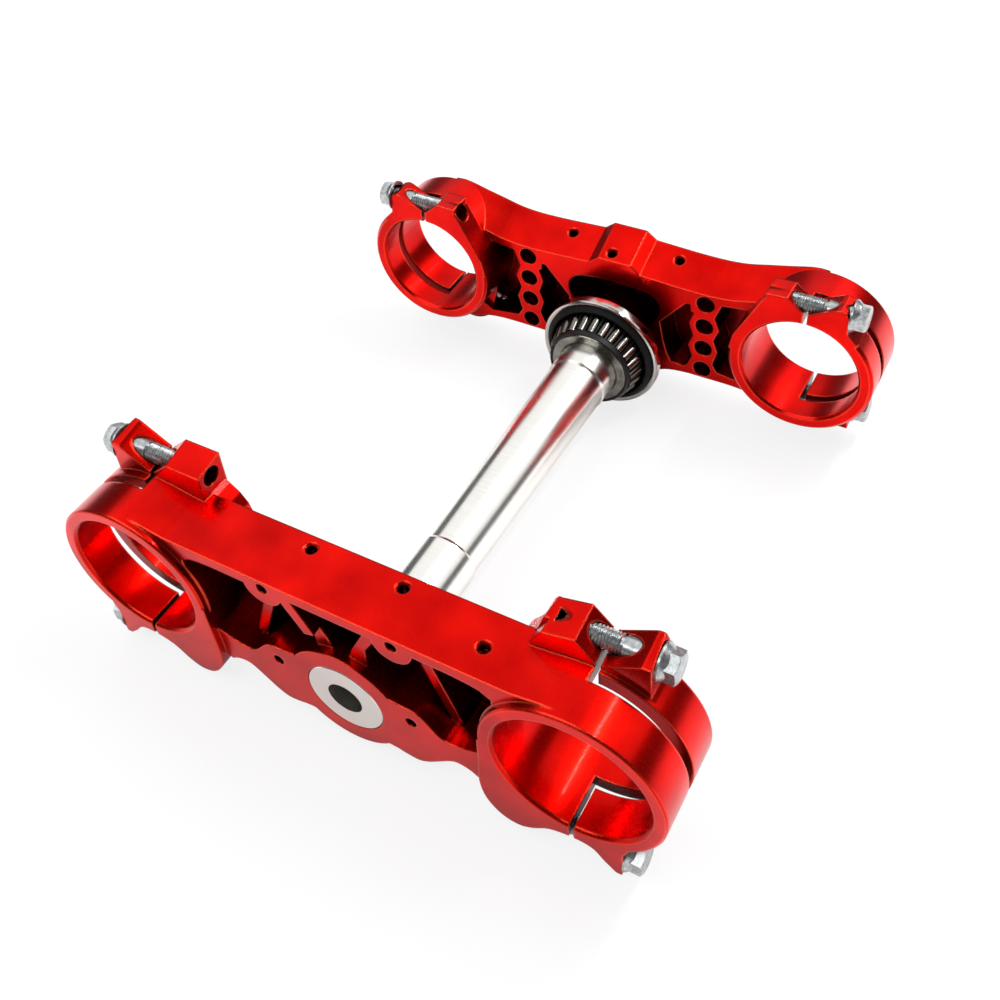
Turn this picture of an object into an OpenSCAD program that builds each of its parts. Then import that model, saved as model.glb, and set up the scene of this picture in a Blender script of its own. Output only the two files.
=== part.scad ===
// Motorcycle triple clamp: lower clamp with its pressed-in steering stem, upper clamp,
// steering bearings with their seals, stem nut, and eight pinch bolts.
// X runs across the two fork tubes, Y along the steering stem from the lower clamp
// to the upper clamp, and Z points to the front of the motorcycle. Millimetres.

/* [Fork tubes] */
// distance between the centres of the two fork tubes
fork_spacing = 196; // [192:1:204]
// how far the fork tubes sit ahead of the steering stem
fork_offset = 22; // [21:0.5:23]
// bore of the lower clamp rings
lower_bore_d = 60; // [57:0.5:60.5]
// bore of the upper clamp rings
upper_bore_d = 54; // [51:0.5:54.5]
// small cone at the mouth of each fork bore
bore_chamfer = 1.2; // [0.6:0.1:1.6]

/* [Lower clamp] */
// wall of the rings round the lower fork bores
lower_ring_wall = 6; // [5.5:0.5:6.5]
// thickness of the lower clamp between the rings
lower_body_t = 27.2; // [26:0.2:29]
// how far the lower rings stand proud of the bottom face
lower_ring_proud = 3.2; // [2:0.2:4]
// how far the lower rings reach past the top face
lower_ring_rise = 8.3; // [7.4:0.1:9]
// plain front face, measured ahead of the stem axis
lower_front = 54.8; // [54:0.2:56]
// height of the near arm edge of the slot that parts the two pinch arms
lower_slot_at = 14.5; // [13.5:0.5:15.5]
// width of the slot between the two pinch arms
arm_slot = 4.2; // [3:0.2:4.4]
// width of the slit that lets an arm close on the fork tube
pinch_slit = 2; // [1.4:0.2:2.6]
// depth of the lightening pockets in the bottom face
lower_pocket_depth = 21; // [16:0.5:22]
// width of the rim left ahead of the pockets
lower_rim = 4.8; // [4:0.2:6]
// front pinch bolt, distance ahead of the fork tube centre
lower_front_bolt = 40.8; // [40.6:0.1:42]
// rear pinch bolt, distance behind the fork tube centre
lower_rear_bolt = 40.5; // [40:0.5:42]
// outside radius of the boss round the pressed stem
stem_boss_r = 25.5; // [24.5:0.5:26.5]

/* [Upper clamp] */
// distance from the bottom face of the lower clamp to the top face of the upper clamp
clamp_height = 260; // [255:1:280]
// thickness of the upper clamp between its rings
upper_body_t = 20; // [19:0.5:22]
// wall of the rings round the upper fork bores
upper_ring_wall = 6.5; // [6:0.5:7]
// length of the upper rings along the fork tubes
upper_ring_t = 34.5; // [34:0.5:36]
// slope of the front face of the upper clamp
upper_front_slope = 21; // [18:1:24]
// depth of the pockets in the underside
upper_pocket_depth = 15; // [12:0.5:16]
// front pinch bolt, distance ahead of the fork tube centre
upper_front_bolt = 35; // [34.2:0.1:36]
// rear pinch bolt, distance behind the fork tube centre
upper_rear_bolt = 34.5; // [34.2:0.1:36]
// height that the clamp boss reaches below the body to meet the dust cover
upper_boss_drop = 10.7; // [10:0.5:12]

/* [Handlebar holes] */
// bore of the handlebar mounting holes
bar_hole_d = 9; // [8:0.5:10]
// step between neighbouring handlebar holes
bar_hole_pitch = 13.4; // [13:0.2:14]
// distance of each row of holes from the stem axis
bar_row_x = 47.3; // [46:0.5:49]

/* [Fender and number plate holes] */
// bore of the fender holes in the bottom face
fender_hole_d = 5; // [4:0.5:6]
// half distance between the two front fender holes
fender_front_x = 28.3; // [27:0.5:30]
// half distance between the two rear fender holes
fender_rear_x = 30.7; // [30:0.5:32]
// bore of the small threaded holes in the front faces
face_hole_d = 4.2; // [3.3:0.1:5]

/* [Steering stem] */
// diameter of the bearing seats
bearing_bore_d = 30; // [29.5:0.1:30.5]
// diameter of the end pressed into the lower clamp
stem_press_d = 34.6; // [34:0.2:35.4]
// smallest diameter of the long taper
stem_waist_d = 25.6; // [25:0.2:26.4]
// bore through the whole stem
stem_bore_d = 15.6; // [14:0.2:17]
// diameter in the upper clamp
stem_top_d = 28; // [27:0.2:28.6]

/* [Bearings] */
// rollers in each bearing
roller_count = 24; // [20:2:24]
// mean diameter of a roller
roller_d = 4.7; // [4.4:0.1:4.8]
// length of a roller
roller_l = 11.4; // [10.5:0.1:11.6]
// width of the inner ring
cone_w = 17; // [17:0.5:18]
// room between the rollers and the inside edge of the upper dust cover
cover_room = 3.4; // [3.2:0.1:4]
// width of the cover's rounded rim
cover_rim = 2.2; // [2:0.1:3]
// depth of the cover, from the clamp to its open edge
cover_depth = 6.6; // [6.4:0.1:7]

/* [Pinch bolts] */
// shank diameter of a pinch bolt
bolt_d = 8; // [6:0.5:8]
// width across the flats of a bolt head
bolt_af = 11; // [10:0.5:12]
// diameter of the flange under the head
bolt_flange_d = 14.6; // [13.5:0.1:15]

/* [Fits] */
// play of a turning part, measured on the radius
running_clear = 0.05; // [0.02:0.01:0.1]
// gap left round a seated part, measured on the radius
seat_clear = 0.04; // [0.02:0.01:0.1]
// gap round a bolt shank, measured on the radius
bolt_clear = 0.25; // [0.1:0.05:0.3]

/* [Hidden] */
$fn = 96;
red = [0.80, 0.03, 0.02];
zinc = [0.55, 0.57, 0.58];
steel = [0.80, 0.80, 0.82];
dark = [0.10, 0.10, 0.10];

fx = fork_spacing / 2;
fz = fork_offset;
lower_r = lower_bore_d / 2 + lower_ring_wall;
upper_r = upper_bore_d / 2 + upper_ring_wall;
lower_y0 = -lower_ring_proud;
lower_y1 = lower_body_t + lower_ring_rise;
lower_far_at = lower_slot_at + arm_slot;
left_block_y1 = lower_y1 + 0.8;
right_block_y1 = lower_y1 - 0.5;
top_y = clamp_height;
upper_y0 = top_y - upper_ring_t;
body_y = top_y - upper_body_t;
upper_slot_at = upper_y0 + 12.5;
upper_far_at = upper_slot_at + arm_slot;
boss_y = body_y - upper_boss_drop;
bolt_r = bolt_d / 2;
big = 60;

// pinch bolt places: height along Y, distance from the stem along Z, head seat from fx
lug_reach = 19;
rear_lug_reach = 20;
upper_rear_reach = 22;
lf_y = lower_far_at + 10.5;
lf_z = fz + lower_front_bolt;
lr_y = lower_y0 + 6.6;
lr_z = fz - lower_rear_bolt;
uf_y = upper_y0 + 5.8;
uf_z = fz + upper_front_bolt;
ur_y = upper_far_at + 9.3;
ur_z = fz - upper_rear_bolt;
left_block_l = 25.6;
right_block_l = 19.8;

// one smooth curve through a list of points, n steps for each span
function cr(a, b, c, d, t) = 0.5 * (2 * b + (c - a) * t
  + (2 * a - 5 * b + 4 * c - d) * t * t + (3 * b - a - 3 * c + d) * t * t * t);
function smooth(p, n) = concat([for (i = [0 : len(p) - 2]) for (k = [0 : n - 1])
  cr(p[max(i - 1, 0)], p[i], p[i + 1], p[min(i + 2, len(p) - 1)], k / n)], [p[len(p) - 1]]);
// the same points moved to a fork tube centre
function at_fork(p) = [for (q = p) [fx + q[0], fz + q[1]]];

module along_y(y0, y1) translate([0, y1, 0]) rotate([90, 0, 0]) linear_extrude(y1 - y0) children();
module rod_y(x, z, y0, y1, r) translate([x, y1, z]) rotate([90, 0, 0]) cylinder(h = y1 - y0, r = r);
// cone from radius ra at y0 to radius rb at y1
module cone_y(x, z, y0, y1, ra, rb) translate([x, y0, z]) rotate([-90, 0, 0])
  cylinder(h = y1 - y0, r1 = ra, r2 = rb);
module rod_x(y, z, x0, x1, r) translate([x0, y, z]) rotate([0, 90, 0]) cylinder(h = x1 - x0, r = r);
module sides() { children(); mirror([1, 0, 0]) children(); }
module block(x0, x1, y0, y1, z0, z1) translate([x0, y0, z0]) cube([x1 - x0, y1 - y0, z1 - z0]);
// a profile of [radius, y] points turned about the stem axis
module turned(p) rotate([-90, 0, 0]) rotate_extrude() polygon(p);

// fork bore with a small cone at both mouths
module fork_bore(y0, y1, r) {
  rod_y(fx, fz, y0 - 1, y1 + 1, r);
  cone_y(fx, fz, y0 - 0.01, y0 + bore_chamfer, r + bore_chamfer + 0.01, r);
  cone_y(fx, fz, y1 - bore_chamfer, y1 + 0.01, r, r + bore_chamfer + 0.01);
}

// ring round a fork bore, its edges broken by e
module ring_y(y0, y1, r, e) translate([fx, 0, fz])
  turned([[0, y0], [r - e, y0], [r, y0 + e], [r, y1 - e], [r - e, y1], [0, y1]]);

// Lower clamp

module lower_body_plan() {
  rear = smooth([[0, -19], [19, -18.5], [25, -19.5], [31, -20], [36, -17.6], [41, -13.5],
    [48, -8.2], [54, -8.5], [58, -11]], 4);
  front = smooth([[fx, fz + lower_r], [fx - 10, fz + lower_r - 0.9], [fx - 20, lower_front + 0.6],
    [fx - 32, lower_front], [0, lower_front]], 4);
  polygon(concat(rear, [[fx - 30, -6], [fx, fz]], front));
  circle(r = stem_boss_r);
}

// the arm that opens at the rear, with the thick pinch block and the free lug
module lower_near_plan() {
  polygon(concat(at_fork(smooth([[-lower_r, 0], [-36.6, -14], [-37.2, -28], [-35, -38.4], [-29, -45.4],
    [-22, -47], [-16, -44.4], [-9, -39], [0, -36.7], [8, -37.4], [13, -42.5], [17.4, -46.6]], 4)),
    at_fork([[rear_lug_reach - 0.4, -46.6], [rear_lug_reach, -45.6], [rear_lug_reach, -33],
    [22, -28.5], [0, 0]])));
}

// the arm that opens at the front: pinch block, lug, and the saddle cut down to the bolt
saddle_tilt = 10;
module lower_far_plan(inner) {
  top = lower_front_bolt + 8;
  polygon(at_fork(concat(inner, [[16.6, top], [18, top - 0.9], [lug_reach, top - 3],
    [lug_reach, 31], [24.5, 26], [20, 10], [0, 10]])));
}
module lower_saddle_plan(inner) {
  c = cos(saddle_tilt);
  z = fz + lower_front_bolt;
  polygon([for (q = concat(inner, [[-1.4, -0.2], [0, -0.9], [1.6, -0.8],
    [14, 6.6], [15.6, 7.4], [30, 7.9], [30, 40], [-40, 40]])) [fx + q[0], (z + q[1]) * c]]);
}
module saddle_cut(y1, inner) translate([0, y1, 0]) rotate([saddle_tilt, 0, 0])
  along_y(-big, big) lower_saddle_plan(inner);
// right pinch block, its inner flank sloped, on a web that runs down to the body
module right_block() difference() {
  top = lower_front_bolt + 8;
  l = right_block_l;
  union() {
    along_y(lower_far_at + 1.8, right_block_y1) lower_far_plan([[-l - 5.8, 20],
      [-l - 5.8, lower_front_bolt - 6.2], [-l, top - 4], [-l, top]]);
    along_y(lower_body_t - 1, right_block_y1) polygon(concat(at_fork(smooth([[-34.6, 20],
      [-32.4, 25], [-28.6, 29.8], [-25.2, 36], [-22.9, top - 6], [-l - 0.5, top - 3]], 3)),
      at_fork([[-14, top - 3], [-14, 18], [-34.6, 18]])));
  }
  saddle_cut(right_block_y1, [[-40, 3.9], [-l, 4.2], [-8.4, 7.2]]);
}
// left pinch block, flat on its inner side, where the bolt hole comes out
module left_block() difference() {
  top = lower_front_bolt + 8;
  l = left_block_l;
  union() {
    along_y(lower_far_at + 3.6, left_block_y1)
      lower_far_plan([[-l, 20], [-l, top - 0.8], [-l + 0.8, top]]);
    along_y(lower_body_t - 1, left_block_y1 - 0.8) polygon(at_fork([[-36.4, 18],
      [-35, 23.6], [-31.8, 28.4], [-l - 2, 32], [-l + 0.2, 33.4], [-14, 33.4], [-14, 18]]));
  }
  saddle_cut(left_block_y1, [[-40, 6.4], [-l, 6.5], [-8.8, 6.5]]);
}

module lower_pocket_plan() {
  difference() {
    polygon(concat(smooth([[0, 12], [20, 14], [27, 13.6], [34, 13], [38, 9.5], [43, 4.2],
      [50, 3.4], [60, 6.5], [fx - 31, 9]], 3), [[fx - 30, lower_front - 9],
      [fx - 34.5, lower_front - 6.2], [fx - 38.5, lower_front - lower_rim - 0.6],
      [fx - 46, lower_front - lower_rim], [0, lower_front - lower_rim]]));
    circle(r = stem_boss_r);
    translate([fx, fz]) circle(r = lower_r + 0.6);
    translate([fender_front_x, lower_front - 4]) circle(r = 8.6);
    translate([fender_rear_x, 5.4]) circle(r = 7.5);
  }
}
// diagonal ribs inside the pockets
module lower_rib_plan() {
  polygon([[22.5, 51], [16.5, 51], [5.5, 30], [2, 20], [11, 20], [12, 33]]);
}
module lower_outer_rib_plan() {
  polygon([[33, 46], [29.5, 42], [44, 2], [48, 4.5]]);
}

module lower_clamp() color(red) difference() {
  union() {
    difference() {
      union() {
        sides() along_y(0, lower_body_t) lower_body_plan();
        sides() ring_y(lower_y0, lower_y1, lower_r, 0.8);
      }
      sides() along_y(-1, lower_pocket_depth) lower_pocket_plan();
    }
    sides() along_y(4, lower_pocket_depth + 1) lower_rib_plan();
    mirror([1, 0, 0]) along_y(0, 4.5) intersection() {
      lower_rib_plan();
      polygon([[25, 52], [14, 52], [4, 36], [14, 33], [27, 42]]);
    }
    sides() along_y(9, lower_pocket_depth + 1) lower_outer_rib_plan();
    sides() along_y(lower_y0, lower_slot_at) lower_near_plan();
    right_block();
    mirror([1, 0, 0]) left_block();
  }
  // fork bores, arm slots and pinch slits
  sides() {
    fork_bore(lower_y0, lower_y1, lower_bore_d / 2);
    block(fx, fx + big, lower_slot_at, lower_far_at, fz - big, fz + big);
    block(fx - pinch_slit / 2, fx + pinch_slit / 2, lower_slot_at, lower_y1 + 1, fz + 20, fz + big);
    block(fx - pinch_slit / 2, fx + pinch_slit / 2, lower_y0 - 1, lower_far_at, fz - big, fz - 20);
    rod_x(lr_y, lr_z, fx - big / 2, fx + big, bolt_r + bolt_clear);
  }
  rod_x(lf_y, lf_z, fx - right_block_l + 1.3, fx + big, bolt_r + bolt_clear);
  mirror([1, 0, 0]) rod_x(lf_y, lf_z, fx - left_block_l - 2, fx + big, bolt_r + bolt_clear);
  // bore for the pressed stem
  rod_y(0, 0, -1, lower_body_t + 1, stem_press_d / 2 + seat_clear);
  // fender holes in the bottom face
  sides() {
    rod_y(fender_front_x, lower_front - 4, -1, 14, fender_hole_d / 2);
    rod_y(fender_rear_x, 5.4, -1, 14, fender_hole_d / 2);
    front_hole(20.4, 21.6, lower_front, 9);
  }
  front_hole(59, 12.4, lower_front, 4);
}

// threaded hole in a front face with a small countersink
module front_hole(x, y, z, d) {
  translate([x, y, z - d]) cylinder(h = d + 5, r = face_hole_d / 2);
  translate([x, y, z - 0.9]) cylinder(h = 1, r1 = face_hole_d / 2, r2 = face_hole_d / 2 + 1);
}

// Upper clamp

module upper_body_plan() {
  rear = smooth([[0, -26], [10, -24.6], [19, -19], [28, -14], [38, -12.2], [48, -12], [62, -12],
    [fx - 26, -13], [fx - 17, -15.5], [fx - 10, -17.5]], 4);
  polygon(concat(rear, at_fork([[0, 0], [0, upper_r - 0.2]]), [[fx - 10, 56], [0, 56]]));
}
// everything ahead of the curved front face, drawn square to that face
module upper_front_cut_plan() {
  c = cos(upper_front_slope);
  far = [[fx + 1, (fz + upper_r) * c], [fx - 8, (fz + upper_r) * c - 0.9], [fx - 18, 52 * c],
    [70, 49.6 * c], [60, 47.2 * c], [50, 46.2 * c], [38, 46.2 * c], [26, 46.7 * c], [16, 47.2 * c]];
  polygon(concat([[fx + 1, 90], [0, 90], [0, 47.5 * c + 3.6], [8.5, 47.5 * c + 3.6],
    [13.6, 47.4 * c]], [for (i = [0 : len(smooth(far, 3)) - 1])
    smooth(far, 3)[len(smooth(far, 3)) - 1 - i]]));
}
// place on the sloped face of a point d below its top edge, which is z ahead of the stem
function face_hole_y(d, z) = z * sin(upper_front_slope) - d;
module sloped() translate([0, top_y - 1.5, 0]) rotate([upper_front_slope, 0, 0]) children();

// front pinch lugs of the near arm, with the saddle cut down to the bolt
module upper_near_plan() {
  b = upper_front_bolt;
  polygon(at_fork([[-33.3, 3], [-31.8, 11], [-19.5, b], [-18.3, b + 1.6], [-18.3, b + 4.4],
    [-8.6, b + 4.8], [-1.6, b - 1.4], [1.6, b - 1.2], [13, b + 4.6], [15, b + 5], [17.6, b + 4],
    [lug_reach, b + 1.4], [lug_reach, 28.5], [24, 23.4], [0, 0]]));
}
// rear pinch lugs of the far arm
module upper_rear_plan() {
  polygon(at_fork(concat(smooth([[-30, -15], [-27, -27], [-24, -36], [-17, -40.6], [-10, -40.8],
    [0, -38], [8, -38.6], [14, -41]], 3), [[upper_rear_reach, -41], [upper_rear_reach, -27],
    [25, -22.2],
    [0, 0]])));
}
module upper_outer_pocket_plan() {
  polygon([[77, 4], [76, -5], [71, -8.6], [55, -6.4], [52.4, -2], [54.6, 6.4], [52.2, 13], [54.8, 20],
    [52.2, 26.6], [53.4, 30], [55.5, 35.4], [74, 37.6], [fx - 22.5, 34], [76.4, 22]]);
}
module upper_triangle_pocket_plan() {
  polygon([[40, 27.6], [41.6, 26.8], [39.4, 20], [41.8, 13.2], [39.6, 6.8], [41.8, 0], [39.8, -5.5],
    [37.5, -8.2], [31, -7.4], [28.6, -3], [26.6, 4], [24.5, 15.6], [37.4, 31], [39.6, 31.4]]);
}
module upper_centre_pocket_plan() {
  difference() {
    polygon(smooth([[0, 32.4], [9.5, 32], [19, 30.4], [23.6, 26.6], [24.6, 21], [22, 15], [17, 8],
      [0, 8]], 3));
    circle(r = 19);
  }
}

module upper_clamp() color(red) difference() {
  union() {
    difference() {
      sides() along_y(body_y, top_y) upper_body_plan();
      sides() sloped() along_y(-big, big) upper_front_cut_plan();
      sides() along_y(body_y - 1, body_y + upper_pocket_depth) {
        upper_outer_pocket_plan();
        upper_triangle_pocket_plan();
        upper_centre_pocket_plan();
      }
    }
    rod_y(0, 0, boss_y, top_y, 19);
    sides() ring_y(upper_y0, top_y, upper_r, 1.4);
    sides() along_y(upper_y0, upper_slot_at) upper_near_plan();
    sides() along_y(upper_far_at, top_y - 1) upper_rear_plan();
  }
  sides() {
    fork_bore(upper_y0, top_y, upper_bore_d / 2);
    block(fx, fx + big, upper_slot_at, upper_far_at, fz - big, fz + big);
    block(fx - pinch_slit / 2, fx + pinch_slit / 2, upper_y0 - 1, upper_far_at, fz + 20, fz + big);
    block(fx - pinch_slit / 2, fx + pinch_slit / 2, upper_slot_at, top_y + 1, fz - big, fz - 20);
    rod_x(uf_y, uf_z, fx - 22, fx + big, bolt_r + bolt_clear);
    // seat milled round the flange of the front bolt
    rod_x(uf_y, uf_z, fx + lug_reach, fx + big, bolt_flange_d / 2 + 0.4);
    rod_x(ur_y, ur_z, fx - 30, fx + big, bolt_r + bolt_clear);
    // bevel along the near edge of the front lugs
    translate([0, upper_y0, uf_z + 1.4]) rotate([45, 0, 0]) block(fx - 24, fx + 24, -10, 0, -0.01, 10);
    for (i = [0 : 3]) rod_y(bar_row_x, 33.5 - i * bar_hole_pitch, body_y - 1, top_y + 1, bar_hole_d / 2);
    sloped() front_hole(28.4, face_hole_y(5.5, 46.7), 46.7 * cos(upper_front_slope), 9);
  }
  sloped() front_hole(-2.8, face_hole_y(15.3, 51.3), 47.5 * cos(upper_front_slope) + 3.6, 9);
  rod_y(0, 0, boss_y - 1, top_y + 1, stem_top_d / 2 + seat_clear);
}

// Steering stem, turned from one bar and hollow

stem_seat_y = lower_body_t + 1.8;
cover_t = 2;
lower_cone_y = stem_seat_y;
upper_cone_y = boss_y - cover_t - 0.1 - cone_w;
seat_r = bearing_bore_d / 2 - seat_clear;
stem_end = top_y + 11;
module steering_stem() color(steel) turned([
  [stem_bore_d / 2, 0], [stem_press_d / 2 - 0.5, 0], [stem_press_d / 2, 0.5],
  [stem_press_d / 2, lower_body_t - 1], [seat_r, lower_body_t - 0.9],
  [seat_r, stem_seat_y + cone_w + 0.6], [seat_r - 1.3, stem_seat_y + cone_w + 2], [seat_r - 1.4, 76],
  [stem_waist_d / 2, 77.5], [stem_waist_d / 2, 82], [seat_r - 0.6, upper_cone_y - 14],
  [seat_r, upper_cone_y - 12.6], [seat_r, boss_y - 0.3], [stem_top_d / 2, boss_y],
  [stem_top_d / 2, top_y + 2], [stem_top_d / 2 - 1.4, top_y + 2.4],
  [stem_top_d / 2 - 1.4, stem_end - 1], [stem_top_d / 2 - 2.4, stem_end],
  [stem_bore_d / 2, stem_end]]);

// thread of the stem under the nut, and the nut's size across flats
nut_thread_r = stem_top_d / 2 - 1.4;
nut_r = nut_thread_r + 3.4;
module stem_washer() color(zinc) difference() {
  rod_y(0, 0, top_y, top_y + 1.9, stem_top_d / 2 + 4.5);
  rod_y(0, 0, top_y - 1, top_y + 3, stem_top_d / 2 + seat_clear);
}
module stem_nut() color(zinc) difference() {
  intersection() {
    translate([0, top_y + 1.9, 0]) rotate([-90, 30, 0]) cylinder(h = 8, r = nut_r / cos(30), $fn = 6);
    turned([[0, top_y + 1.9], [nut_r + 1.6, top_y + 1.9], [nut_r + 2.6, top_y + 2.9],
      [nut_r + 2.6, top_y + 8.9], [nut_r + 1.2, top_y + 9.9], [0, top_y + 9.9]]);
  }
  rod_y(0, 0, top_y, top_y + 20, nut_thread_r + seat_clear);
  rod_y(0, 0, top_y, top_y + 2.4, stem_top_d / 2 + seat_clear);
}

// Bearings: the profiles are drawn for a bearing whose small end is at y 0

roller_tilt = 14;
pitch_r = 21.2;
mid_y = 8.6;
roller_taper = 0.15;
tan_t = tan(roller_tilt);
race_r = (roller_d / 2 + running_clear) / cos(roller_tilt);
// rib line just past the large ends of the rollers, as a height at radius r
function rib_y(r) = mid_y + (roller_l / 2 + 0.1) * cos(roller_tilt)
  - (r - pitch_r - (roller_l / 2 + 0.1) * sin(roller_tilt)) * tan_t;
// cage: how far outside the rollers' axes its sheet lies, and its thickness
cage_at = 0.7;
cage_t = 0.9;
// largest radius that the rollers reach
bearing_r = pitch_r + roller_l / 2 * sin(roller_tilt) + (roller_d / 2 + roller_taper) * cos(roller_tilt);
cover_in = bearing_r + cover_room;
cover_r = cover_in + cover_rim;
module bearing_cone_profile() {
  lo = mid_y - roller_l / 2 - 0.2;
  hi = mid_y + roller_l / 2 + 0.7;
  race = 0.08;
  turned([[bearing_bore_d / 2 + 0.6, 0], [19.2, 0], [19.6, 0.4], [19.6, lo - 0.6],
    [pitch_r - race_r - tan_t * (roller_l / 2 + 0.2) + roller_taper - race, lo],
    [pitch_r - race_r + tan_t * (roller_l / 2 + 0.7) - roller_taper - race, hi],
    [21.8, rib_y(21.8)], [21.8, cone_w - 0.4], [21.4, cone_w], [bearing_bore_d / 2 + 0.6, cone_w],
    [bearing_bore_d / 2, cone_w - 0.6], [bearing_bore_d / 2, 0.6]]);
}
// frame of roller i: its own axis along Y, centred
module roller_place(i) rotate([0, i * 360 / roller_count, 0])
  translate([pitch_r, mid_y, 0]) rotate([0, 0, -roller_tilt]) children();
module rollers() for (i = [0 : roller_count - 1]) roller_place(i)
  translate([0, -roller_l / 2, 0]) rotate([-90, 0, 0])
  cylinder(h = roller_l, r1 = roller_d / 2 - roller_taper, r2 = roller_d / 2 + roller_taper, $fn = 48);
module cage() difference() {
  turned([for (q = [[cage_at, -roller_l / 2 - 2.7], [cage_at + cage_t, -roller_l / 2 - 2.7],
    [cage_at + cage_t, roller_l / 2 + 1.9], [cage_at, roller_l / 2 + 1.9]])
    [pitch_r + q[0] * cos(roller_tilt) + q[1] * sin(roller_tilt),
     mid_y + q[1] * cos(roller_tilt) - q[0] * sin(roller_tilt)]]);
  for (i = [0 : roller_count - 1]) roller_place(i)
    translate([-1, -roller_l / 2 - 0.25, -roller_d / 2 - 0.12])
    cube([6, roller_l + 0.5, roller_d + 0.24]);
}
module upper_place() translate([0, upper_cone_y, 0]) children();
// the lower bearing is the same piece turned end for end
module lower_place() translate([0, lower_cone_y + cone_w, 0]) rotate([180, 0, 0]) children();

module upper_bearing_cone() color(steel) upper_place() bearing_cone_profile();
module upper_bearing_cage() color(dark) upper_place() cage();
module upper_bearing_rollers() color(steel) upper_place() rollers();
module lower_bearing_cone() color(steel) lower_place() bearing_cone_profile();
module lower_bearing_cage() color(dark) lower_place() cage();
module lower_bearing_rollers() color(steel) lower_place() rollers();

// dished cover: rounded rim, cone inside, flat plate under the clamp boss
module upper_dust_cover() color(steel) turned([
  [bearing_bore_d / 2 + seat_clear, boss_y - cover_t], [bearing_r + 0.2, boss_y - cover_t],
  [cover_in, boss_y - cover_depth + 0.4], [cover_r - cover_rim / 2, boss_y - cover_depth],
  [cover_r - 0.3, boss_y - cover_depth + 0.4], [cover_r, boss_y - cover_depth + 1.3],
  [cover_r, boss_y - 1.6], [cover_r - 0.5, boss_y - 0.5], [cover_r - 1.6, boss_y],
  [bearing_bore_d / 2 + seat_clear, boss_y]]);
// rubber ring that lines the cover, with a skirt round the large ends of the rollers
module upper_dust_seal() color(dark) {
  skirt = cover_depth - cover_t + 1.6;
  turned([for (q = [[bearing_r - 2.7, 0.05], [bearing_r - 2.7, 0.9], [bearing_r, 0.9],
    [bearing_r + 0.5, 2.2], [bearing_r + 0.5, skirt], [bearing_r + 1.5, skirt + 0.2],
    [cover_in - 0.2, skirt - 1.95], [bearing_r + 0.05, 0.05]]) [q[0], boss_y - cover_t - q[1]]]);
}
module lower_dust_seal() color(dark) turned([
  [bearing_bore_d / 2 + 0.1, lower_body_t + 0.05], [bearing_r + 0.4, lower_body_t + 0.05],
  [bearing_r + 1.4, stem_seat_y + 0.6], [bearing_r + 0.4, stem_seat_y + 0.6],
  [bearing_r - 1, lower_body_t + 1.7], [bearing_bore_d / 2 + 0.1, lower_body_t + 1.7]]);

// Pinch bolts, all with their heads on the outside

module pinch_bolt(y, z, seat, tip) {
  rod_x(y, z, tip + 1, seat + 0.5, bolt_r);
  translate([tip, y, z]) rotate([0, 90, 0]) cylinder(h = 1.01, r1 = bolt_r - 1, r2 = bolt_r);
  translate([seat, y, z]) rotate([0, 90, 0])
    cylinder(h = 1.6, r1 = bolt_flange_d / 2, r2 = bolt_flange_d / 2 - 0.8);
  translate([seat + 1, y, z]) rotate([0, 90, 0]) cylinder(h = 5.8, r = bolt_af / 2 / cos(30), $fn = 6);
}
module bolt_lower_front_right() color(zinc) pinch_bolt(lf_y, lf_z, fx + lug_reach, fx - 16);
module bolt_lower_front_left() mirror([1, 0, 0]) bolt_lower_front_right();
module bolt_lower_rear_right() color(zinc) pinch_bolt(lr_y, lr_z, fx + rear_lug_reach, fx - 18);
module bolt_lower_rear_left() mirror([1, 0, 0]) bolt_lower_rear_right();
module bolt_upper_front_right() color(zinc) pinch_bolt(uf_y, uf_z, fx + lug_reach, fx - 14);
module bolt_upper_front_left() mirror([1, 0, 0]) bolt_upper_front_right();
module bolt_upper_rear_right() color(zinc) pinch_bolt(ur_y, ur_z, fx + upper_rear_reach, fx - 18);
module bolt_upper_rear_left() mirror([1, 0, 0]) bolt_upper_rear_right();

lower_clamp();
upper_clamp();
steering_stem();
stem_nut();
stem_washer();
upper_bearing_cone();
upper_bearing_cage();
upper_bearing_rollers();
upper_dust_cover();
upper_dust_seal();
lower_bearing_cone();
lower_bearing_cage();
lower_bearing_rollers();
lower_dust_seal();
bolt_lower_front_left();
bolt_lower_front_right();
bolt_lower_rear_left();
bolt_lower_rear_right();
bolt_upper_front_left();
bolt_upper_front_right();
bolt_upper_rear_left();
bolt_upper_rear_right();
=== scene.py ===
"""Looks for an assembled motorcycle triple clamp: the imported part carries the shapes,
and this script gives its pieces their finishes, cuts the threads of the pinch bolts,
and sets the floor, the lamps and the camera. Lengths are in metres, colours in sRGB hex."""
import math

import bpy
from mathutils import Matrix, Vector


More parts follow.
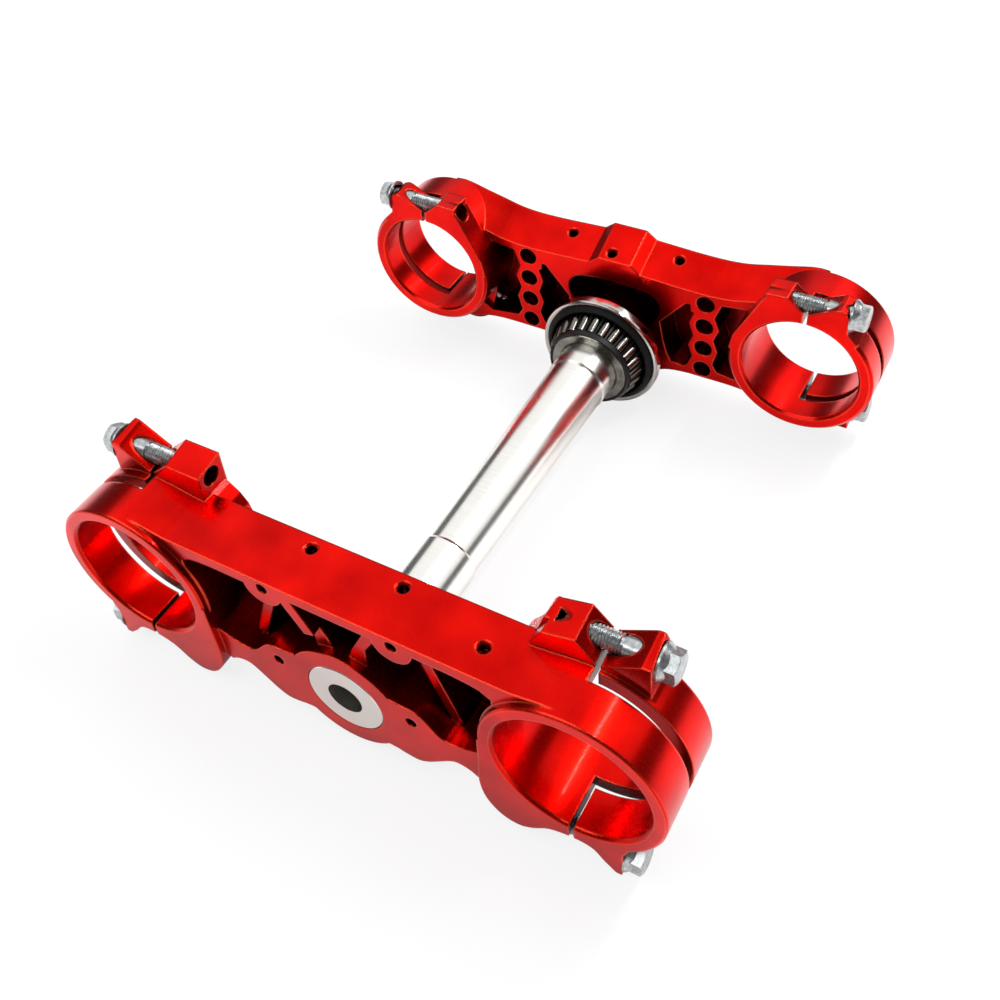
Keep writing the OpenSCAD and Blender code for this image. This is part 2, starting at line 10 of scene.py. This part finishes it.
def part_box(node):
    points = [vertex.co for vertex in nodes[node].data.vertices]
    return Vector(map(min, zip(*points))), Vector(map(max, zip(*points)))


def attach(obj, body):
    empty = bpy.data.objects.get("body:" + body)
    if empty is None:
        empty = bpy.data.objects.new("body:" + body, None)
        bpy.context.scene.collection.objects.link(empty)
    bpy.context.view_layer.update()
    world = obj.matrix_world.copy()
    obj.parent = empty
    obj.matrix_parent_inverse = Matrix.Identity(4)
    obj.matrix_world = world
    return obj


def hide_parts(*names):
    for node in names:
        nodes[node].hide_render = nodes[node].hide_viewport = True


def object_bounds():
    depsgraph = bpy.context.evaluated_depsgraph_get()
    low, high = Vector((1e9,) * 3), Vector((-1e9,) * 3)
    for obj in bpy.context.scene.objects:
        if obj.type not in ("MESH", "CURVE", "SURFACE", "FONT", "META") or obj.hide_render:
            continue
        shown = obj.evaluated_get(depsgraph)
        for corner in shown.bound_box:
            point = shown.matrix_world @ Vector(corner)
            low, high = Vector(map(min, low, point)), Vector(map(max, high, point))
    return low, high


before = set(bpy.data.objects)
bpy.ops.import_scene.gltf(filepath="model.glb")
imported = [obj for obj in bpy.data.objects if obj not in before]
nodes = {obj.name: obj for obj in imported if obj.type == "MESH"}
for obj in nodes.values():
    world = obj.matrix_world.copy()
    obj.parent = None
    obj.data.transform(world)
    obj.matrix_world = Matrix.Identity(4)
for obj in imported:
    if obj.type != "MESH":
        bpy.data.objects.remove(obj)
cad_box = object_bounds()
MM = 0.001


# Lower and upper fork clamp. Each is milled from one block of aluminium, blasted with fine
# beads and dyed red in the anodising bath, so the colour lies under a thin clear oxide.
def linear(hex_colour, strength=1.0):
    """A colour written in sRGB hex, as the linear values that Blender takes."""
    parts = [int(hex_colour[i:i + 2], 16) / 255 for i in (1, 3, 5)]
    return [strength * (c / 12.92 if c <= 0.04045 else ((c + 0.055) / 1.055) ** 2.4)
            for c in parts] + [1.0]


def add(tree, kind, inputs=None, **settings):
    """Adds one node with its settings; an input is a value, or a socket to link from."""
    node = tree.nodes.new(kind)
    for name, value in settings.items():
        setattr(node, name, value)
    for key, value in (inputs or {}).items():
        if isinstance(value, bpy.types.NodeSocket):
            tree.links.new(value, node.inputs[key])
        else:
            node.inputs[key].default_value = value
    return node


def new_material(name):
    """An empty node material and its tree, with the object's own coordinates."""
    material = bpy.data.materials.new(name)
    material.use_nodes = True
    tree = material.node_tree
    tree.nodes.clear()
    return material, tree, add(tree, "ShaderNodeTexCoord").outputs["Object"]


def dress(material, *names):
    """Gives the CAD nodes this material in every slot."""
    for name in names:
        mesh = nodes[name].data
        mesh.materials.clear()
        mesh.materials.append(material)


BEAD_GRAIN = 0.35 * MM     # blasted grain; real grain is 0.1 mm, drawn coarser so that it shows
DYE_CLOUD = 26 * MM        # size of the slow changes in how the dye took
EDGE_BREAK = 1.2 * MM      # rounding that the deburring left on each edge
PAINTED_SHADE_REACH = 30 * MM     # how near a wall has to be for the painted pocket shade to darken a surface

anodised, tree, place = new_material("red_anodised_aluminium")
grain = add(tree, "ShaderNodeTexNoise", {"Vector": place, "Scale": 1 / BEAD_GRAIN, "Detail": 3.0,
                                         "Roughness": 0.6})
cloud = add(tree, "ShaderNodeTexNoise", {"Vector": place, "Scale": 1 / DYE_CLOUD, "Detail": 2.0})
# the rounded normal differs from the flat one only beside an edge, which marks the edges
rounded = add(tree, "ShaderNodeBevel", {"Radius": EDGE_BREAK}, samples=6)
face = add(tree, "ShaderNodeNewGeometry")
agree = add(tree, "ShaderNodeVectorMath", {0: rounded.outputs["Normal"], 1: face.outputs["Normal"]},
            operation="DOT_PRODUCT")
edge = add(tree, "ShaderNodeMapRange", {"Value": agree.outputs["Value"], "From Min": 0.995,
                                        "From Max": 0.86})
# painted shade: ambient occlusion darkens the red towards near black deep in the pockets, where the
# shade falls
shelter = add(tree, "ShaderNodeAmbientOcclusion", {"Distance": PAINTED_SHADE_REACH}, samples=6)
painted_pocket_shade = add(tree, "ShaderNodeMapRange", {"Value": shelter.outputs["AO"], "From Min": 0.16,
                                         "From Max": 0.8, "To Min": 0.02, "To Max": 1.0})
dye = add(tree, "ShaderNodeValToRGB", {"Fac": cloud.outputs["Fac"]})
dye.color_ramp.elements[0].position, dye.color_ramp.elements[1].position = 0.3, 0.75
dye.color_ramp.elements[0].color = linear("#BE0200")
dye.color_ramp.elements[1].color = linear("#EE0E03")
# painted highlight: along each edge the red is painted pale orange, standing in for the bright line
# the lamps draw on a rounded edge
painted_edge_highlight = add(tree, "ShaderNodeMix", {0: edge.outputs["Result"], 6: dye.outputs["Color"],
                                   7: linear("#FA553A")}, data_type="RGBA")
shaded = add(tree, "ShaderNodeMix", {0: painted_pocket_shade.outputs["Result"], 6: linear("#180000"),
                                     7: painted_edge_highlight.outputs[2]}, data_type="RGBA")
sheen_spread = add(tree, "ShaderNodeMapRange", {"Value": grain.outputs["Fac"], "To Min": 0.2,
                                                "To Max": 0.32})
relief = add(tree, "ShaderNodeBump", {"Height": grain.outputs["Fac"], "Strength": 0.08,
                                      "Distance": 0.02 * MM, "Normal": rounded.outputs["Normal"]})
skin = add(tree, "ShaderNodeBsdfPrincipled", {
    "Base Color": shaded.outputs[2], "Roughness": sheen_spread.outputs["Result"], "Metallic": 0.96,
    "Specular IOR Level": 0.15, "Coat Weight": 0.05, "Coat Roughness": 0.08,
    "Normal": relief.outputs["Normal"]})
add(tree, "ShaderNodeOutputMaterial", {"Surface": skin.outputs["BSDF"]})
dress(anodised, "lower_clamp", "upper_clamp")


# Steering stem. It is turned from an aluminium bar, hollow from end to end, pressed into
# the lower clamp and polished bright; the lathe's fine rings still show round it.
LATHE_STEP = 0.45 * MM     # feed marks; real ones are 0.1 mm, drawn coarser so that they show

polished, tree, place = new_material("polished_turned_aluminium")
along = add(tree, "ShaderNodeMapping", {"Vector": place, "Scale": (0.02 / LATHE_STEP, 1 / LATHE_STEP,
                                                                   0.02 / LATHE_STEP)})
rings = add(tree, "ShaderNodeTexNoise", {"Vector": along.outputs["Vector"], "Scale": 1.0,
                                         "Detail": 2.0})
smear = add(tree, "ShaderNodeTexNoise", {"Vector": place, "Scale": 1 / (18 * MM), "Detail": 3.0})
gloss = add(tree, "ShaderNodeMapRange", {"Value": smear.outputs["Fac"], "To Min": 0.16,
                                         "To Max": 0.3})
relief = add(tree, "ShaderNodeBump", {"Height": rings.outputs["Fac"], "Strength": 0.05,
                                      "Distance": 0.004 * MM})
tone = add(tree, "ShaderNodeMix", {0: rings.outputs["Fac"], 6: linear("#E4E3DF"),
                                   7: linear("#F8F6F0")}, data_type="RGBA")
skin = add(tree, "ShaderNodeBsdfPrincipled", {
    "Base Color": tone.outputs[2], "Roughness": gloss.outputs["Result"], "Metallic": 1.0,
    "Normal": relief.outputs["Normal"]})
add(tree, "ShaderNodeOutputMaterial", {"Surface": skin.outputs["BSDF"]})
dress(polished, "steering_stem")


# Bearings. Hardened steel rings and tapered rollers, ground bright and oiled, so they
# mirror like dark glass; the pressed cage between the rollers is blackened.
ground, tree, place = new_material("ground_bearing_steel")
stain = add(tree, "ShaderNodeTexNoise", {"Vector": place, "Scale": 1 / (4 * MM), "Detail": 4.0})
gloss = add(tree, "ShaderNodeMapRange", {"Value": stain.outputs["Fac"], "To Min": 0.12,
                                         "To Max": 0.3})
tone = add(tree, "ShaderNodeMix", {0: stain.outputs["Fac"], 6: linear("#33332F"),
                                   7: linear("#96948D")}, data_type="RGBA")
rounded = add(tree, "ShaderNodeBevel", {"Radius": 0.25 * MM}, samples=4)
skin = add(tree, "ShaderNodeBsdfPrincipled", {
    "Base Color": tone.outputs[2], "Roughness": gloss.outputs["Result"], "Metallic": 1.0,
    "Normal": rounded.outputs["Normal"]})
add(tree, "ShaderNodeOutputMaterial", {"Surface": skin.outputs["BSDF"]})
dress(ground, "upper_bearing_cone", "upper_bearing_rollers", "lower_bearing_cone",
      "lower_bearing_rollers")

blackened, tree, place = new_material("black_phosphated_sheet_steel")
crystal = add(tree, "ShaderNodeTexNoise", {"Vector": place, "Scale": 1 / (0.3 * MM), "Detail": 2.0})
gloss = add(tree, "ShaderNodeMapRange", {"Value": crystal.outputs["Fac"], "To Min": 0.38,
                                         "To Max": 0.6})
tone = add(tree, "ShaderNodeMix", {0: crystal.outputs["Fac"], 6: linear("#050506"),
                                   7: linear("#141416")}, data_type="RGBA")
skin = add(tree, "ShaderNodeBsdfPrincipled", {
    "Base Color": tone.outputs[2], "Roughness": gloss.outputs["Result"], "Specular IOR Level": 0.3})
add(tree, "ShaderNodeOutputMaterial", {"Surface": skin.outputs["BSDF"]})
dress(blackened, "upper_bearing_cage", "lower_bearing_cage")


# Dust cover over the upper bearing. A dished plate of stainless steel, turned and polished;
# it sits on the stem under the upper clamp and throws water off its rim.
cover, tree, place = new_material("polished_stainless_cover")
along = add(tree, "ShaderNodeMapping", {"Vector": place, "Scale": (60, 1 / (0.3 * MM), 60)})
rings = add(tree, "ShaderNodeTexNoise", {"Vector": along.outputs["Vector"], "Scale": 1.0,
                                         "Detail": 2.0})
gloss = add(tree, "ShaderNodeMapRange", {"Value": rings.outputs["Fac"], "To Min": 0.07,
                                         "To Max": 0.2})
tone = add(tree, "ShaderNodeMix", {0: rings.outputs["Fac"], 6: linear("#9A9590"),
                                   7: linear("#DAD5D0")}, data_type="RGBA")
rounded = add(tree, "ShaderNodeBevel", {"Radius": 0.5 * MM}, samples=4)
skin = add(tree, "ShaderNodeBsdfPrincipled", {
    "Base Color": tone.outputs[2], "Roughness": gloss.outputs["Result"], "Metallic": 1.0,
    "Normal": rounded.outputs["Normal"]})
add(tree, "ShaderNodeOutputMaterial", {"Surface": skin.outputs["BSDF"]})
dress(cover, "upper_dust_cover")


# Dust seals. Two moulded rings of black rubber, one held in the cover and one on the
# lower clamp under its bearing; each has a thin lip that wipes against the bearing.
rubber, tree, place = new_material("moulded_nitrile_rubber")
bloom = add(tree, "ShaderNodeTexNoise", {"Vector": place, "Scale": 1 / (1.2 * MM), "Detail": 4.0})
tone = add(tree, "ShaderNodeMix", {0: bloom.outputs["Fac"], 6: linear("#050505"),
                                   7: linear("#121212")}, data_type="RGBA")
relief = add(tree, "ShaderNodeBump", {"Height": bloom.outputs["Fac"], "Strength": 0.2,
                                      "Distance": 0.05 * MM})
skin = add(tree, "ShaderNodeBsdfPrincipled", {
    "Base Color": tone.outputs[2], "Roughness": 0.62, "Specular IOR Level": 0.2,
    "Normal": relief.outputs["Normal"]})
add(tree, "ShaderNodeOutputMaterial", {"Surface": skin.outputs["BSDF"]})
dress(rubber, "upper_dust_seal", "lower_dust_seal")


# Stem nut and washer. Turned steel with a thin coat of zinc, which gives a pale grey,
# slightly mottled metal; the nut holds the upper clamp down on the stem.
zinc, tree, place = new_material("zinc_plated_steel")
mottle = add(tree, "ShaderNodeTexNoise", {"Vector": place, "Scale": 1 / (1.6 * MM), "Detail": 5.0,
                                          "Roughness": 0.65})
tone = add(tree, "ShaderNodeValToRGB", {"Fac": mottle.outputs["Fac"]})
tone.color_ramp.elements[0].position, tone.color_ramp.elements[1].position = 0.32, 0.7
tone.color_ramp.elements[0].color = linear("#8A8F91")
tone.color_ramp.elements[1].color = linear("#D2D5D5")
gloss = add(tree, "ShaderNodeMapRange", {"Value": mottle.outputs["Fac"], "To Min": 0.2,
                                         "To Max": 0.42})
rounded = add(tree, "ShaderNodeBevel", {"Radius": 0.3 * MM}, samples=4)
relief = add(tree, "ShaderNodeBump", {"Height": mottle.outputs["Fac"], "Strength": 0.1,
                                      "Distance": 0.03 * MM, "Normal": rounded.outputs["Normal"]})
skin = add(tree, "ShaderNodeBsdfPrincipled", {
    "Base Color": tone.outputs["Color"], "Roughness": gloss.outputs["Result"], "Metallic": 0.9,
    "Normal": relief.outputs["Normal"]})
add(tree, "ShaderNodeOutputMaterial", {"Surface": skin.outputs["BSDF"]})
dress(zinc, "stem_nut", "stem_washer")


# Pinch bolts. Eight flanged hexagon screws of zinc plated steel, headed cold and with rolled
# threads; each closes one arm of a clamp on its fork tube, so their heads all face outwards.
SHANK_R = 4.0 * MM
PITCH = 1.25 * MM
THREAD_LENGTH = 22 * MM
FLATS = 11.0 * MM
FLANGE_R = 7.3 * MM
FLANGE_T = 1.6 * MM
HEAD_TOP = 6.8 * MM
THREAD_DEPTH = 0.55        # as a share of the pitch
TIP_SHARE = 0.9            # radius of the tip, as a share of the thread's core
CROWN_SHARE = 0.16         # radius to which the top of the head is turned, as a share of its flats
TURNED_SLOPE = 1.73        # how fast the turned-off cone widens: 30 degrees from square

screw = bpy.data.node_groups.new("flanged_pinch_bolt", "GeometryNodeTree")
for label, kind in (("Seats", "Geometry"), ("Length", "Float"), ("Shank radius", "Float"),
                    ("Pitch", "Float"), ("Thread length", "Float"), ("Flats", "Float"),
                    ("Flange radius", "Float"), ("Flange height", "Float"),
                    ("Head top", "Float"), ("Finish", "Material")):
    screw.interface.new_socket(label, in_out="INPUT", socket_type="NodeSocket" + kind)
screw.interface.new_socket("Bolts", in_out="OUTPUT", socket_type="NodeSocketGeometry")
given = add(screw, "NodeGroupInput").outputs


def sum_of(operation, a, b):
    """One sum in the bolt's tree."""
    return add(screw, "ShaderNodeMath", {0: a, 1: b}, operation=operation).outputs[0]


def at_height(geometry, z):
    """The geometry moved along the bolt's own axis."""
    spot = add(screw, "ShaderNodeCombineXYZ", {"Z": z}).outputs["Vector"]
    return add(screw, "GeometryNodeTransform", {"Geometry": geometry,
                                                "Translation": spot}).outputs["Geometry"]


# shank: core under the thread, full radius above it, and the rolled thread wound round the core
core_r = sum_of("SUBTRACT", given["Shank radius"], sum_of("MULTIPLY", given["Pitch"], THREAD_DEPTH))
core = add(screw, "GeometryNodeMeshCone", {"Vertices": 40, "Radius Top": core_r,
                                           "Radius Bottom": sum_of("MULTIPLY", core_r, TIP_SHARE),
                                           "Depth": given["Length"]}).outputs["Mesh"]
core = at_height(core, sum_of("MULTIPLY", given["Length"], -1.0))
plain_length = sum_of("SUBTRACT", given["Length"], given["Thread length"])
plain = add(screw, "GeometryNodeMeshCylinder", {"Vertices": 40, "Radius": given["Shank radius"],
                                                "Depth": plain_length}).outputs["Mesh"]
plain = at_height(plain, sum_of("MULTIPLY", plain_length, -0.5))
wound = sum_of("SUBTRACT", given["Thread length"], sum_of("MULTIPLY", given["Pitch"], 1.2))
turns = sum_of("DIVIDE", wound, given["Pitch"])
line_r = sum_of("SUBTRACT", given["Shank radius"], sum_of("MULTIPLY", given["Pitch"], 0.52))
helix = add(screw, "GeometryNodeCurveSpiral", {
    "Resolution": 28, "Rotations": turns, "Start Radius": line_r, "End Radius": line_r,
    "Height": wound}).outputs["Curve"]
helix = add(screw, "GeometryNodeSetCurveNormal", {"Curve": helix}, mode="Z_UP").outputs["Curve"]
ridge = add(screw, "GeometryNodeCurvePrimitiveCircle", {
    "Resolution": 4, "Radius": sum_of("MULTIPLY", given["Pitch"], 0.5)}).outputs["Curve"]
thread = add(screw, "GeometryNodeCurveToMesh", {"Curve": helix, "Profile Curve": ridge,
                                                "Fill Caps": True}).outputs["Mesh"]
thread_foot = sum_of("SUBTRACT", sum_of("MULTIPLY", given["Pitch"], 0.6), given["Length"])
thread = at_height(thread, thread_foot)

# head: flange that slopes up to a hexagon, whose corners are turned off by a cone
hex_r = sum_of("DIVIDE", given["Flats"], 2 * math.cos(math.pi / 6))
flange = add(screw, "GeometryNodeMeshCone", {
    "Vertices": 64, "Radius Top": sum_of("MULTIPLY", given["Flats"], 0.5),
    "Radius Bottom": given["Flange radius"],
    "Depth": sum_of("MULTIPLY", given["Flange height"], 1.5)}).outputs["Mesh"]
rim = add(screw, "GeometryNodeMeshCylinder", {
    "Vertices": 64, "Radius": given["Flange radius"],
    "Depth": sum_of("MULTIPLY", given["Flange height"], 0.5)}).outputs["Mesh"]
flange = at_height(flange, sum_of("MULTIPLY", given["Flange height"], 0.5))
rim = at_height(rim, sum_of("MULTIPLY", given["Flange height"], 0.25))
hexagon = add(screw, "GeometryNodeMeshCylinder", {"Vertices": 6, "Radius": hex_r,
                                                  "Depth": given["Head top"]}).outputs["Mesh"]
hexagon = at_height(hexagon, sum_of("MULTIPLY", given["Head top"], 0.5))
crown_r = sum_of("MULTIPLY", given["Flats"], CROWN_SHARE)
cone_height = sum_of("MULTIPLY", given["Head top"], 1.4)
turned_off = add(screw, "GeometryNodeMeshCone", {
    "Vertices": 64, "Radius Top": crown_r,
    "Radius Bottom": sum_of("ADD", crown_r, sum_of("MULTIPLY", cone_height, TURNED_SLOPE)),
    "Depth": cone_height}).outputs["Mesh"]
turned_off = at_height(turned_off, sum_of("MULTIPLY", given["Head top"], -0.1))
head = add(screw, "GeometryNodeMeshBoolean", operation="INTERSECT", solver="EXACT")
for part in (turned_off, hexagon):
    screw.links.new(part, head.inputs["Mesh 2"])

whole = add(screw, "GeometryNodeJoinGeometry")
for part in (core, plain, thread, flange, rim, head.outputs["Mesh"]):
    screw.links.new(part, whole.inputs["Geometry"])
turn = add(screw, "GeometryNodeInputNamedAttribute", {"Name": "turn"}, data_type="FLOAT")
facing = add(screw, "ShaderNodeCombineXYZ", {"Y": turn.outputs["Attribute"]}).outputs["Vector"]
placed = add(screw, "GeometryNodeInstanceOnPoints", {
    "Points": given["Seats"], "Instance": whole.outputs["Geometry"],
    "Rotation": facing}).outputs["Instances"]
made = add(screw, "GeometryNodeRealizeInstances", {"Geometry": placed}).outputs["Geometry"]
made = add(screw, "GeometryNodeSetMaterial", {"Geometry": made,
                                              "Material": given["Finish"]}).outputs["Geometry"]
add(screw, "NodeGroupOutput", {"Bolts": made})


def plain_mesh(carrier, smooth_below=35):
    """The carrier's evaluated geometry as a plain mesh, without its modifiers."""
    graph = bpy.context.evaluated_depsgraph_get()
    mesh = bpy.data.meshes.new_from_object(carrier.evaluated_get(graph))
    carrier.modifiers.clear()
    carrier.data = mesh
    mesh.shade_smooth()
    mesh.set_sharp_from_angle(angle=math.radians(smooth_below))
    return carrier


for where in ("lower_front", "lower_rear", "upper_front", "upper_rear"):
    low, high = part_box(f"bolt_{where}_right")
    seat_x = high.x - HEAD_TOP
    middle = (low + high) / 2
    seats = bpy.data.meshes.new(f"pinch_bolts_{where}")
    seats.from_pydata([(side * seat_x, middle.y, middle.z) for side in (1, -1)], [], [])
    seats.attributes.new("turn", "FLOAT", "POINT").data.foreach_set(
        "value", [math.pi / 2, -math.pi / 2])
    bolts = bpy.data.objects.new(f"pinch_bolts_{where}", seats)
    bpy.context.scene.collection.objects.link(bolts)
    modifier = bolts.modifiers.new("bolts", "NODES")
    modifier.node_group = screw
    sizes = {"Length": seat_x - low.x, "Shank radius": SHANK_R, "Pitch": PITCH,
             "Thread length": THREAD_LENGTH, "Flats": FLATS, "Flange radius": FLANGE_R,
             "Flange height": FLANGE_T, "Head top": HEAD_TOP, "Finish": zinc}
    for socket in screw.interface.items_tree:
        if socket.name in sizes:
            modifier[socket.identifier] = sizes[socket.name]
    plain_mesh(bolts)
    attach(bolts, "clamp_assembly")
    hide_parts(f"bolt_{where}_left", f"bolt_{where}_right")


# Floor and light. A pale table top, a soft white surround, four softboxes (behind the object,
# behind it on the right, above it, and low in front, where it catches the edges) and a thin
# strip light that draws the orange streaks in the right rings.
floor_z = cad_box[0].z - 0.4 * MM
floor_mesh = bpy.data.meshes.new("table_top")
floor_mesh.from_pydata([(-4, -4, floor_z), (4, -4, floor_z), (4, 4, floor_z), (-4, 4, floor_z)],
                       [], [(0, 1, 2, 3)])
floor = bpy.data.objects.new("table_top", floor_mesh)
bpy.context.scene.collection.objects.link(floor)
table, tree, place = new_material("white_table_laminate")
fleck = add(tree, "ShaderNodeTexNoise", {"Vector": place, "Scale": 60.0, "Detail": 2.0})
tone = add(tree, "ShaderNodeMix", {0: fleck.outputs["Fac"], 6: linear("#F4F4F4"),
                                   7: linear("#FBFBFB")}, data_type="RGBA")
matt = add(tree, "ShaderNodeBsdfDiffuse", {"Color": tone.outputs[2]})
glow = add(tree, "ShaderNodeEmission", {"Color": linear("#FFFFFF"), "Strength": 1.0})
path = add(tree, "ShaderNodeLightPath")
seen = add(tree, "ShaderNodeMath", {0: path.outputs["Is Camera Ray"], 1: 0.8},
           operation="MULTIPLY")
top = add(tree, "ShaderNodeMixShader", {0: seen.outputs[0], 1: matt.outputs["BSDF"],
                                        2: glow.outputs["Emission"]})
add(tree, "ShaderNodeOutputMaterial", {"Surface": top.outputs["Shader"]})
floor_mesh.materials.append(table)

world = bpy.data.worlds.new("soft_surround")
bpy.context.scene.world = world
world.use_nodes = True
tree = world.node_tree
tree.nodes.clear()
path = add(tree, "ShaderNodeLightPath")
behind = add(tree, "ShaderNodeBackground", {"Color": linear("#FFFFFF"), "Strength": 1.0})
around = add(tree, "ShaderNodeBackground", {"Color": linear("#FFFFFF"), "Strength": 0.5})
mirrored = add(tree, "ShaderNodeBackground", {"Color": linear("#FFFFFF"), "Strength": 0.1})
lighting = add(tree, "ShaderNodeMixShader", {0: path.outputs["Is Glossy Ray"],
                                             1: around.outputs["Background"],
                                             2: mirrored.outputs["Background"]})
either = add(tree, "ShaderNodeMixShader", {0: path.outputs["Is Camera Ray"],
                                           1: lighting.outputs["Shader"],
                                           2: behind.outputs["Background"]})
add(tree, "ShaderNodeOutputWorld", {"Surface": either.outputs["Shader"]})

middle = (cad_box[0] + cad_box[1]) / 2
for name, direction, distance, width, height, brightness in (
        ("softbox_bank_behind", (0.07, 0.61, 0.79), 1.0, 2.6, 0.8, 1.0),
        ("softbox_behind_right", (0.38, 0.62, 0.69), 0.9, 0.3, 0.3, 5.0),
        ("softbox_above", (-0.42, -0.1, 0.9), 1.2, 0.9, 0.9, 1.15),
        ("softbox_front", (-0.29, -0.6, 0.73), 1.14, 0.9, 0.3, 4.6),
        ("strip_light_right", (0.35, 0.35, 0.87), 1.0, 0.05, 0.4, 55.0)):
    lamp = bpy.data.lights.new(name, "AREA")
    lamp.shape, lamp.size, lamp.size_y = "RECTANGLE", width, height
    lamp.energy = brightness * math.pi * width * height
    holder = bpy.data.objects.new(name, lamp)
    bpy.context.scene.collection.objects.link(holder)
    aim = Vector(direction).normalized()
    across = Vector((1, 0, 0)) - aim * aim.x
    across.normalize()
    turned = Matrix((across, aim.cross(across), aim)).transposed().to_4x4()
    holder.matrix_world = Matrix.Translation(middle + aim * distance) @ turned


# Camera, at the photograph's viewing angle: from the front left of the upper clamp's
# underside, well above the table. The values were fitted to the rings, stem and holes.
AZIMUTH, ELEVATION, ROLL = (math.radians(a) for a in (34.39, 41.84, 6.26))
AIM = Vector((5.8, 100.0, 84.5)) * MM
DISTANCE = 472.8 * MM
FRAME_PX = 1000
FOCAL_PX = 1225.4
CENTRE_PX = (471.0, 380.9)

back = Vector((math.sin(AZIMUTH) * math.cos(ELEVATION), -math.cos(AZIMUTH) * math.cos(ELEVATION),
               math.sin(ELEVATION)))
level = (-back).cross(Vector((0, 0, 1))).normalized()
down = (-back).cross(level)
right = math.cos(ROLL) * level + math.sin(ROLL) * down
up = math.sin(ROLL) * level - math.cos(ROLL) * down
lens = bpy.data.cameras.new("camera")
lens.sensor_width = 36.0
lens.lens = FOCAL_PX / FRAME_PX * lens.sensor_width
lens.shift_x = (FRAME_PX / 2 - CENTRE_PX[0]) / FRAME_PX
lens.shift_y = (CENTRE_PX[1] - FRAME_PX / 2) / FRAME_PX
camera = bpy.data.objects.new("camera", lens)
bpy.context.scene.collection.objects.link(camera)
turned = Matrix((right, up, back)).transposed().to_4x4()
camera.matrix_world = Matrix.Translation(AIM + back * DISTANCE) @ turned
bpy.context.scene.camera = camera
bpy.context.scene.view_settings.view_transform = "Standard"
